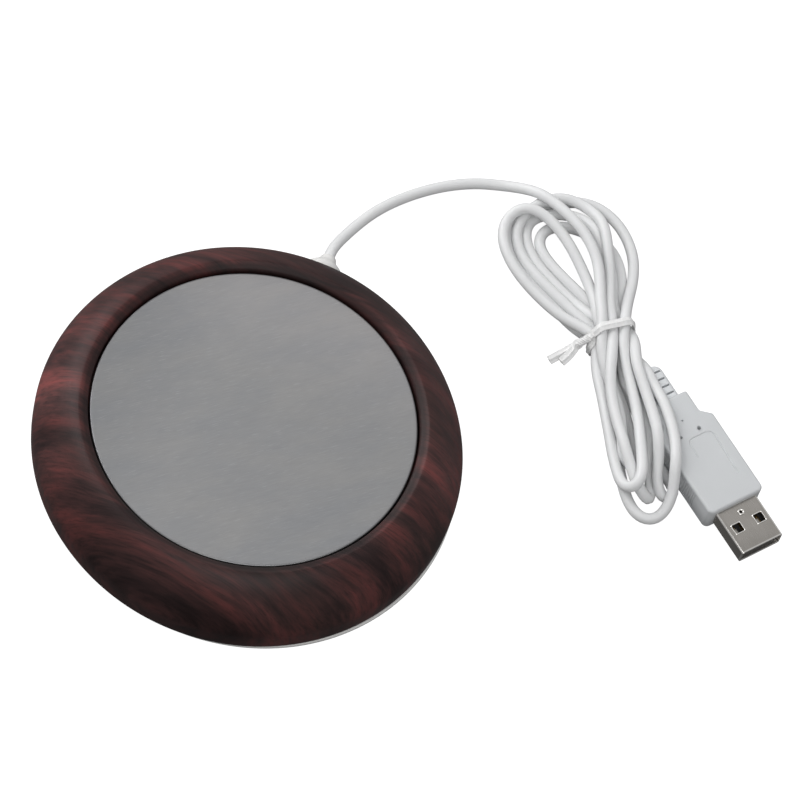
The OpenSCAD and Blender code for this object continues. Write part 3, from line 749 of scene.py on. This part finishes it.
shell = shell_tube("shell", 6.0, 2.25, 0.55, -6.5, 12.0, lips=[(11.82, 0.0), (11.95, 0.05), (12.0, 0.14)])
core = shell_tube("t", 5.7, 1.95, 0.3, -7.0, 13.0)
windows = []
for s in (-1, 1):
    outline = fillet([(4.35, s * 3.2 - 1.25), (6.85, s * 3.2 - 1.25), (6.85, s * 3.2 + 1.25), (4.35, s * 3.2 + 1.25)], 0.22, 3)
    windows.append(prism("t", outline, -1, 9, plug))
cut(shell, core, *windows, plug_cyl(2.2, -0.07, 5.0, 8.0, 0.36), sharp=38)
trim = []
for s in (-1, 1):
    for z in (6.23, 1.77):
        outline = fillet([(4.27, s * 3.2 - 1.33), (6.93, s * 3.2 - 1.33), (6.93, s * 3.2 + 1.33), (4.27, s * 3.2 + 1.33)], 0.3, 4)
        trim.append(sweep("rim", [plug(a, w, z) for a, w in outline], circle(0.17, 8), side=(0, 0, 1), closed=True))
# contact springs inside the windows, and the coined dimple
for s in (-1, 1):
    spring = prism("spring", fillet([(4.9, s * 3.2 - 0.42), (6.5, s * 3.2 - 0.42), (6.5, s * 3.2 + 0.42), (4.9, s * 3.2 + 0.42)], 0.2, 3), 4.15, 4.35, plug)
    trim.append(spring)
dim = [plug(2.2 + 0.66 * math.cos(t), -0.07 + 0.66 * math.sin(t), 6.22) for t in np.linspace(0, 2 * math.pi, 33)[:-1]]
trim.append(sweep("dimple", dim, circle(0.27, 12), side=(0, 0, 1), closed=True))
# rolled mouth of the shell
mouth = rounded(5.83, 2.08, 0.45)
trim.append(sweep("mouth", [plug(11.82, x, 4 + y) for x, y in mouth], circle(0.17, 10), side=(0, 0, 1), closed=True))
shell = join("plug_metal", [shell] + trim, sharp=38)


# ---------------------------------------------------------------- materials
class Mat:
    def __init__(self, name):
        self.m = bpy.data.materials.new(name)
        self.m.use_nodes = True
        self.t = self.m.node_tree
        self.b = next(n for n in self.t.nodes if n.type == "BSDF_PRINCIPLED")
        tc = self.t.nodes.new("ShaderNodeTexCoord")
        self.pos = self.map(tc.outputs["Object"], scale=(1000, 1000, 1000))

    def set(self, **kw):
        for k, v in kw.items():
            s = self.b.inputs[k.replace("_", " ")]
            s.default_value = v if not isinstance(v, tuple) else tuple(v) + ((1.0,) if len(v) == 3 and s.type == "RGBA" else ())
        return self

    def node(self, kind, **kw):
        n = self.t.nodes.new("ShaderNode" + kind)
        for k, v in kw.items():
            setattr(n, k, v)
        return n

    def link(self, a, b):
        self.t.links.new(a, b)

    def map(self, src, scale=(1, 1, 1), rot=(0, 0, 0), loc=(0, 0, 0)):
        n = self.node("Mapping")
        n.inputs["Scale"].default_value = scale
        n.inputs["Rotation"].default_value = [math.radians(a) for a in rot]
        n.inputs["Location"].default_value = loc
        self.link(src, n.inputs["Vector"])
        return n.outputs["Vector"]

    def noise(self, src, scale=1.0, detail=2.0, rough=0.5, color=False, distortion=0.0):
        n = self.node("TexNoise")
        n.inputs["Scale"].default_value = scale
        n.inputs["Detail"].default_value = detail
        n.inputs["Roughness"].default_value = rough
        n.inputs["Distortion"].default_value = distortion
        self.link(src, n.inputs["Vector"])
        return n.outputs["Color" if color else "Fac"]

    def math(self, op, a, b=None, c=None, clamp=False):
        n = self.node("Math", operation=op, use_clamp=clamp)
        for i, v in enumerate((a, b, c)):
            if v is None:
                continue
            if isinstance(v, (int, float)):
                n.inputs[i].default_value = v
            else:
                self.link(v, n.inputs[i])
        return n.outputs[0]

    def vmath(self, op, a, b=None):
        n = self.node("VectorMath", operation=op)
        for i, v in enumerate((a, b)):
            if v is None:
                continue
            if isinstance(v, tuple):
                n.inputs[i].default_value = v
            else:
                self.link(v, n.inputs[i])
        return n.outputs["Value"] if op in ("DISTANCE", "LENGTH", "DOT_PRODUCT") else n.outputs["Vector"]

    def ramp(self, src, stops, mode="LINEAR"):
        n = self.node("ValToRGB")
        n.color_ramp.interpolation = mode
        e = n.color_ramp.elements
        while len(e) < len(stops):
            e.new(0.5)
        for el, (p, c) in zip(e, stops):
            el.position = p
            el.color = tuple(c) + (1.0,)
        self.link(src, n.inputs["Fac"])
        return n.outputs["Color"]

    def rng(self, src, a, b, lo=0.0, hi=1.0, smooth=False):
        n = self.node("MapRange")
        n.interpolation_type = "SMOOTHSTEP" if smooth else "LINEAR"
        n.inputs["From Min"].default_value = lo
        n.inputs["From Max"].default_value = hi
        n.inputs["To Min"].default_value = a
        n.inputs["To Max"].default_value = b
        self.link(src, n.inputs["Value"])
        return n.outputs["Result"]

    def mix(self, fac, a, b, mode="MIX"):
        n = self.node("Mix", data_type="RGBA", blend_type=mode)
        for s, v in ((n.inputs[0], fac), (n.inputs[6], a), (n.inputs[7], b)):
            if isinstance(v, (int, float)):
                s.default_value = v
            elif isinstance(v, tuple):
                s.default_value = tuple(v) + (1.0,)
            else:
                self.link(v, s)
        return n.outputs[2]

    def bump(self, height, strength, dist_mm, prev=None):
        n = self.node("Bump")
        n.inputs["Strength"].default_value = strength
        n.inputs["Distance"].default_value = dist_mm * MM
        self.link(height, n.inputs["Height"])
        if prev is not None:
            self.link(prev, n.inputs["Normal"])
        self.link(n.outputs["Normal"], self.b.inputs["Normal"])
        return n.outputs["Normal"]

    def color(self, src):
        self.link(src, self.b.inputs["Base Color"])
        return self

    def roughness(self, src):
        self.link(src, self.b.inputs["Roughness"])
        return self


def plastic(name, col, rough, vary=0.05, grain=1.6, bump=0.25, spec=0.5, warm=(1, 1, 1), coat=0.0):
    """Moulded plastic or rubber: faint mottling, sparkle grain and uneven gloss."""
    m = Mat(name)
    m.set(Specular_IOR_Level=spec)
    if coat:
        m.set(Coat_Weight=coat, Coat_Roughness=0.25)
    broad = m.noise(m.pos, 0.11, 3, 0.6)
    fine = m.noise(m.pos, grain, 2, 0.6)
    f = m.math("ADD", m.math("MULTIPLY", broad, 0.7), m.math("MULTIPLY", fine, 0.3))
    lo = tuple(c * (1 - vary) for c in col)
    hi = tuple(min(1.0, c * (1 + vary) * w) for c, w in zip(col, warm))
    m.color(m.ramp(f, [(0.3, lo), (0.7, hi)]))
    m.roughness(m.rng(fine, rough - 0.06, rough + 0.07, 0.3, 0.7))
    m.bump(fine, bump, 0.03)
    return m.m


def plug_plastic(name):
    """Matt moulding. The boot is painted lighter than the body, painted light against the shade the cord casts on it,
    and the body is painted darker low on its sides: painted shade.
    """
    m = Mat(name)
    q = m.map(m.vmath("SUBTRACT", m.pos, (115.4, 35.6, 4.0)), rot=(0, 0, 38.3))
    xyz = m.node("SeparateXYZ")
    m.link(q, xyz.inputs[0])
    broad = m.noise(m.pos, 0.11, 3, 0.6)
    fine = m.noise(m.pos, 2.4, 2, 0.6)
    f = m.math("ADD", m.math("MULTIPLY", broad, 0.7), m.math("MULTIPLY", fine, 0.3))
    col = m.ramp(f, [(0.3, (0.573, 0.588, 0.598)), (0.7, (0.597, 0.612, 0.622))])
    # painted shade: the body is darkened towards the bottom of its sides
    painted_shade_low = m.rng(xyz.outputs["Z"], 1.0, 0.0, -3.9, 1.6, smooth=True)
    col = m.mix(painted_shade_low, col, m.mix(1.0, col, (0.72, 0.72, 0.725), "MULTIPLY"))
    # painted light: past the body's back end the boot is lightened by a fifth, against the shade the cord casts on it
    col = m.mix(m.rng(xyz.outputs["X"], 1.0, 0.0, -31.95, -31.75), col, m.mix(1.0, col, (1.2, 1.2, 1.2), "MULTIPLY"))
    m.color(col)
    m.roughness(m.rng(fine, 0.46, 0.59, 0.3, 0.7))
    m.bump(fine, 0.12, 0.03)
    return m.m


def metal(name, col, rough, streak=(0.4, 14.0, 14.0), rot=(0, 0, 0), vary=0.08, metallic=1.0, bump=0.1):
    m = Mat(name)
    m.set(Metallic=metallic)
    p = m.map(m.map(m.pos, rot=rot), scale=streak)
    fine = m.noise(p, 1.0, 3, 0.6)
    broad = m.noise(m.pos, 0.09, 2, 0.5)
    f = m.math("ADD", m.math("MULTIPLY", broad, 0.45), m.math("MULTIPLY", fine, 0.55))
    m.color(m.ramp(f, [(0.3, tuple(c * (1 - vary) for c in col)), (0.7, tuple(min(1, c * (1 + vary)) for c in col))]))
    m.roughness(m.rng(fine, rough - 0.05, rough + 0.07, 0.3, 0.7))
    m.bump(fine, bump, 0.02)
    return m.m


def nickel(name):
    """Plated shell, painted brighter along its mouth, its long top edges and the tops of its window rims and dimple:
    painted highlights.
    """
    m = Mat(name)
    m.set(Metallic=1.0)
    q = m.map(m.vmath("SUBTRACT", m.pos, (115.4, 35.6, 4.0)), rot=(0, 0, 38.3))
    fine = m.noise(m.map(q, scale=(0.5, 5.0, 5.0)), 1.0, 3, 0.6)
    broad = m.noise(q, 0.35, 2, 0.5)
    f = m.math("ADD", m.math("MULTIPLY", broad, 0.6), m.math("MULTIPLY", fine, 0.4))
    col = m.ramp(f, [(0.3, (0.475, 0.452, 0.415)), (0.7, (0.53, 0.503, 0.468))])
    xyz = m.node("SeparateXYZ")
    m.link(q, xyz.inputs[0])
    # painted highlights: the long top edges, the mouth and the raised tops are painted near-white
    high = m.rng(xyz.outputs["Z"], 0.0, 1.0, 1.7, 1.95)
    edge = m.math("MULTIPLY", m.rng(m.math("ABSOLUTE", xyz.outputs["Y"]), 0.0, 1.0, 5.45, 5.7), high)
    mouth = m.rng(xyz.outputs["X"], 0.0, 1.0, 11.5, 11.7)
    bead = m.rng(xyz.outputs["Z"], 0.0, 1.0, 2.27, 2.32)
    painted_highlight = m.math("MAXIMUM", m.math("MAXIMUM", edge, mouth), bead)
    col = m.mix(m.math("MULTIPLY", painted_highlight, 0.85), col, (0.97, 0.95, 0.91))
    m.color(col)
    m.roughness(m.rng(fine, 0.2, 0.28, 0.3, 0.7))
    m.bump(fine, 0.03, 0.02)
    return m.m


def wood(name):
    m = Mat(name)
    m.set(Specular_IOR_Level=0.18)
    g = m.map(m.pos, rot=(0, 0, 4))
    warp = m.noise(m.map(g, scale=(0.03, 0.045, 0.03)), 1.0, 1, 0.5, color=True)
    warp = m.vmath("MULTIPLY", m.vmath("SUBTRACT", warp, (0.5, 0.5, 0.5)), (3.0, 5.5, 3.0))
    g = m.vmath("ADD", g, warp)
    bands = m.noise(m.map(g, scale=(0.02, 0.11, 0.03), loc=(3.1, 1.7, 0.4)), 1.0, 2, 0.5)
    mid = m.noise(m.map(g, scale=(0.04, 0.36, 0.08)), 1.0, 2, 0.55)
    fine = m.noise(m.map(g, scale=(0.09, 1.3, 0.25)), 1.0, 3, 0.6)
    pores = m.noise(m.map(g, scale=(0.2, 2.6, 0.5)), 1.0, 1, 0.5)
    v = m.math("MULTIPLY_ADD", bands, 0.75, 0.13)
    v = m.math("ADD", v, m.math("MULTIPLY_ADD", mid, 0.4, -0.2))
    v = m.math("ADD", v, m.math("MULTIPLY_ADD", fine, 0.32, -0.16))
    # broad lighter and darker places: printed tone on the ring, and a painted sheen on the left flank: x, y, z, reach,
    # amount
    print_tone_and_sheen = None
    long = m.vmath("MULTIPLY", g, (0.4, 1.0, 0.7))
    for x, y, z, r, w in WOOD_TONE_AND_SHEEN_SPOTS:
        d = m.rng(m.vmath("DISTANCE", long, (x * 0.4, y, z * 0.7)), w, 0.0, r * 0.1, r, smooth=True)
        print_tone_and_sheen = d if print_tone_and_sheen is None else m.math("ADD", print_tone_and_sheen, d)
    col = m.ramp(v, [(0.26, (0.0115, 0.0068, 0.0072)), (0.4, (0.026, 0.0135, 0.0135)), (0.5, (0.048, 0.021, 0.0203)),
                     (0.6, (0.08, 0.0275, 0.0262)), (0.76, (0.14, 0.036, 0.034))])
    gain = m.math("MAXIMUM", m.math("ADD", print_tone_and_sheen, 1.0), 0.2)
    grey3 = m.node("CombineXYZ")
    for k in range(3):
        m.link(gain, grey3.inputs[k])
    col = m.vmath("MULTIPLY", col, grey3.outputs[0])
    dark = m.rng(pores, 1.0, 0.0, 0.33, 0.45)
    col = m.mix(m.math("MULTIPLY", dark, 0.25), col, (0.009, 0.006, 0.006))
    # a greyer cast in places
    grey = m.noise(m.map(g, scale=(0.02, 0.05, 0.05), loc=(9, 4, 2)), 1.0, 2, 0.5)
    col = m.mix(m.rng(grey, 0.0, 0.5, 0.48, 0.68), col, m.mix(0.55, col, (0.034, 0.026, 0.023)))
    # the lip round the plate is painted darker: painted shade on its inner slope
    lip = m.vmath("LENGTH", m.vmath("MULTIPLY", m.pos, (1.0, 1.0, 0.0)))
    col = m.mix(m.rng(lip, 0.6, 0.0, 40.9, 41.9, smooth=True), col, (0.008, 0.0055, 0.0055))
    m.color(col)
    m.roughness(m.rng(fine, 0.42, 0.52, 0.3, 0.7))
    m.bump(fine, 0.12, 0.04)
    return m.m


# printed tone; the strong lightening on the left flank, near x = -46 to -49, is painted sheen
WOOD_TONE_AND_SHEEN_SPOTS = [
    (-38, -31, 13, 7, 0.35),
    (-20, -46, 12, 9, -0.25),
    (14, -50, 10, 10, -0.35),
    (18, -43, 19, 7, 0.3),
    (40, -30, 15, 10, 0.2),
    (34, -27, 21, 5, -0.3),
    (-49, 3, 13, 14, 0.4),
    (-46, -14, 13, 12, 1.0),
    (-38, -25, 14, 4, -0.25),
    (46, 10, 15, 16, 0.5),
    (50, -9, 14, 9, 0.25),
    (-25, 37, 17, 5, 0.3),
    (3, 47, 16, 4, 0.3),
    (23, 36, 21, 5, 0.35),
    (10, 48, 12, 18, -0.2),
]


def plate_metal(name):
    m = Mat(name)
    m.set(Metallic=0.85)
    g = m.map(m.pos, rot=(0, 0, -41))
    fine = m.noise(m.map(g, scale=(0.16, 4.2, 1)), 1.0, 3, 0.62)
    hair = m.noise(m.map(g, scale=(0.28, 6.5, 1)), 1.0, 2, 0.6)
    dash = m.noise(m.map(g, scale=(0.35, 7.0, 1), loc=(5, 2, 0)), 1.0, 1, 0.4)
    broad = m.noise(m.map(g, scale=(0.05, 0.12, 1)), 1.0, 3, 0.6)
    v = m.math("ADD", m.math("MULTIPLY", fine, 0.5), m.math("MULTIPLY", hair, 0.5))
    base = m.ramp(v, [(0.3, (0.333, 0.334, 0.338)), (0.7, (0.377, 0.378, 0.381))])
    tint = m.ramp(broad, [(0.33, (0.94, 0.95, 0.965)), (0.67, (1.03, 1.02, 1.005))])
    col = m.mix(1.0, base, tint, "MULTIPLY")
    # painted reflection: lighter and warmer towards the back, darker at the left
    sep = m.node("SeparateXYZ")
    m.link(m.pos, sep.inputs[0])
    col = m.mix(m.rng(sep.outputs["Y"], 0.0, 1.0, 4.0, 38.0, smooth=True), col, m.mix(1.0, col, (1.17, 1.145, 1.14), "MULTIPLY"))
    col = m.mix(m.rng(sep.outputs["X"], 1.0, 0.0, -38.0, -12.0, smooth=True), col, m.mix(1.0, col, (0.88, 0.885, 0.89), "MULTIPLY"))
    col = m.mix(m.rng(dash, 0.0, 0.3, 0.64, 0.78), col, (0.6, 0.6, 0.62))
    # the rolled edge is painted dark: painted shade that hides its highlight
    rim = m.vmath("LENGTH", m.vmath("MULTIPLY", m.pos, (1.0, 1.0, 0.0)))
    col = m.mix(m.rng(rim, 0.0, 0.5, 39.05, 39.2), col, (0.12, 0.12, 0.125))
    m.color(col)
    m.roughness(m.rng(v, 0.36, 0.46, 0.3, 0.7))
    m.bump(v, 0.1, 0.02)
    return m.m


def felt(name, col):
    m = Mat(name)
    m.set(Sheen_Weight=0.3, Specular_IOR_Level=0.2)
    f = m.noise(m.pos, 1.3, 6, 0.7, distortion=1.5)
    m.color(m.ramp(f, [(0.3, tuple(c * 0.8 for c in col)), (0.7, col)]))
    m.roughness(m.rng(f, 0.85, 1.0))
    m.bump(f, 0.6, 0.25)
    return m.m


MATS = {
    "wood_look": wood("wood_look"),
    "plate_metal": plate_metal("plate_metal"),
    "white_plastic": plastic("white_plastic", (0.74, 0.735, 0.72), 0.45, 0.03, 1.2, 0.15),
    "black_rubber": plastic("black_rubber", (0.018, 0.018, 0.019), 0.68, 0.2, 2.2, 0.4, spec=0.35),
    "polyimide": plastic("polyimide", (0.42, 0.17, 0.03), 0.25, 0.1, 0.6, 0.05),
    "etched_foil": metal("etched_foil", (0.62, 0.42, 0.24), 0.4),
    "steel": metal("steel", (0.56, 0.57, 0.58), 0.32),
    "felt": felt("felt", (0.62, 0.6, 0.52)),
    "thermostat_body": plastic("thermostat_body", (0.03, 0.03, 0.033), 0.5, 0.15, 2.0, 0.3),
    "cord_jacket": plastic("cord_jacket", (0.725, 0.73, 0.732), 0.42, 0.025, 0.9, 0.12),
    "clamp_plastic": plastic("clamp_plastic", (0.05, 0.05, 0.052), 0.55, 0.1),
    "wire_red": plastic("wire_red", (0.5, 0.03, 0.025), 0.4, 0.1),
    "wire_black": plastic("wire_black", (0.02, 0.02, 0.02), 0.4, 0.15),
    "tie_plastic": plastic("tie_plastic", (0.78, 0.78, 0.775), 0.26, 0.03, 1.0, 0.15),
    "plug_plastic": plug_plastic("plug_plastic"),
    "plug_core_plastic": plastic("plug_core_plastic", (0.6, 0.6, 0.55), 0.5, 0.05),
    "nickel": nickel("nickel"),
    # near-black tongue: painted shade, darkening the view into the shell through its windows and mouth
    "tongue_plastic": plastic("tongue_plastic", (0.035, 0.034, 0.033), 0.4, 0.08),
    "gold_contact": metal("gold_contact", (0.83, 0.6, 0.28), 0.25),
}


def dress(o, slot):
    o.data.materials.clear()
    o.data.materials.append(MATS[slot])


NODE_SLOTS = {
    "wood_ring": "wood_look", "base_shell": "white_plastic", "heating_plate": "plate_metal", "plate_gasket": "black_rubber",
    "heater_film": "polyimide", "heater_track": "etched_foil", "film_terminals": "steel", "insulation_pad": "felt",
    "thermostat": "thermostat_body", "retainer_plate": "steel", "retainer_screws": "steel", "case_screw_set": "steel",
    "rubber_feet": "black_rubber", "cord_gland": "white_plastic", "cord_inner": "cord_jacket", "cord_clamp": "clamp_plastic",
    "clamp_screws": "steel", "lead_red": "wire_red", "lead_black": "wire_black", "jumper_wire": "wire_black",
    "cord_lead": "cord_jacket", "cord_hank": "cord_jacket", "twist_tie": "tie_plastic", "plug_strain_relief": "plug_plastic",
    "plug_overmold": "plug_plastic", "plug_cord_end": "cord_jacket", "plug_core": "plug_core_plastic", "plug_shell": "nickel",
    "plug_tongue": "tongue_plastic", "plug_contacts": "gold_contact",
}
for name, slot in NODE_SLOTS.items():
    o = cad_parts[name]
    for k in range(max(1, len(o.material_slots))):
        if not o.material_slots:
            o.data.materials.append(MATS[slot])
        else:
            o.material_slots[k].material = MATS[slot]

NEW = [
    (cord, "cord_jacket", ("cord_lead", "cord_hank", "plug_cord_end")),
    (ring, "wood_look", ("wood_ring",)),
    (plate, "plate_metal", ("heating_plate",)),
    (base, "white_plastic", ("base_shell",)),
    (gland, "white_plastic", ("cord_gland",)),
    (tie, "tie_plastic", ("twist_tie",)),
    (body, "plug_plastic", ("plug_overmold",)),
    (boot, "plug_plastic", ("plug_strain_relief",)),
    (shell, "nickel", ("plug_shell",)),
]
for o, slot, names in NEW:
    dress(o, slot)
    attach(o, "root")
    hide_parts(*names)

# ---------------------------------------------------------------- floor, lights and world
floor = prism("floor", [(-1500, -1500), (1500, -1500), (1500, 1500), (-1500, 1500)], -2.0, 0.0, lambda a, b, c: (a, b, c))
fm = Mat("floor_card")
fm.set(Specular_IOR_Level=0.0, Roughness=1.0)
fm.color(fm.ramp(fm.noise(fm.pos, 0.01, 1), [(0.3, (0.34, 0.34, 0.34)), (0.7, (0.36, 0.36, 0.36))]))
fm.set(Emission_Color=(1.0, 1.0, 1.0))
lp = fm.node("LightPath")
fm.link(fm.math("MULTIPLY", lp.outputs["Is Camera Ray"], 0.93), fm.b.inputs["Emission Strength"])
floor.data.materials.append(fm.m)
floor.visible_glossy = False


def area(name, loc, target, size, power, size_y=None, color=(1, 1, 1)):
    d = bpy.data.lights.new(name, "AREA")
    d.shape = "RECTANGLE"
    d.size = size
    d.size_y = size_y or size
    d.energy = power
    d.color = color
    o = bpy.data.objects.new(name, d)
    bpy.context.scene.collection.objects.link(o)
    o.location = loc
    o.rotation_euler = (V(target) - V(loc)).to_track_quat("-Z", "Y").to_euler()
    return o


area("key", (-1.15, 0.35, 1.15), (0.03, 0.02, 0), 0.9, 11.0)
area("left", (-1.1, 0.55, 0.35), (0.0, 0.0, 0.01), 0.7, 3.2, 0.4)
area("front", (0.35, -0.75, 1.35), (0.03, 0.02, 0), 1.0, 9.0)

world = bpy.data.worlds.new("studio")
bpy.context.scene.world = world
world.use_nodes = True
wt = world.node_tree
bg = wt.nodes["Background"]
tc = wt.nodes.new("ShaderNodeTexCoord")
sep = wt.nodes.new("ShaderNodeSeparateXYZ")
wt.links.new(tc.outputs["Generated"], sep.inputs[0])
rp = wt.nodes.new("ShaderNodeValToRGB")
for k, (p, c) in enumerate(((0.44, 0.12), (0.5, 0.42), (0.62, 0.44), (0.95, 0.42))):
    e = rp.color_ramp.elements[k] if k < 2 else rp.color_ramp.elements.new(p)
    e.position = p
    e.color = (c, c, c * 1.01, 1)
mr = wt.nodes.new("ShaderNodeMapRange")
mr.inputs["From Min"].default_value = -1.0
mr.inputs["From Max"].default_value = 1.0
wt.links.new(sep.outputs["Z"], mr.inputs["Value"])
wt.links.new(mr.outputs["Result"], rp.inputs["Fac"])
wt.links.new(rp.outputs["Color"], bg.inputs["Color"])
# the room is brighter behind and to the left
dot = wt.nodes.new("ShaderNodeVectorMath")
dot.operation = "DOT_PRODUCT"
dot.inputs[1].default_value = (-0.45, 0.85, 0.0)
wt.links.new(tc.outputs["Generated"], dot.inputs[0])
st = wt.nodes.new("ShaderNodeMapRange")
st.inputs["From Min"].default_value = -1.0
st.inputs["From Max"].default_value = 1.0
st.inputs["To Min"].default_value = 0.35
st.inputs["To Max"].default_value = 1.75
wt.links.new(dot.outputs["Value"], st.inputs["Value"])
wt.links.new(st.outputs["Result"], bg.inputs["Strength"])

sc = bpy.context.scene
sc.view_settings.view_transform = "Standard"
sc.view_settings.look = "None"
sc.view_settings.exposure = 0.0
sc.view_settings.gamma = 1.0

bpy.context.view_layer.update()
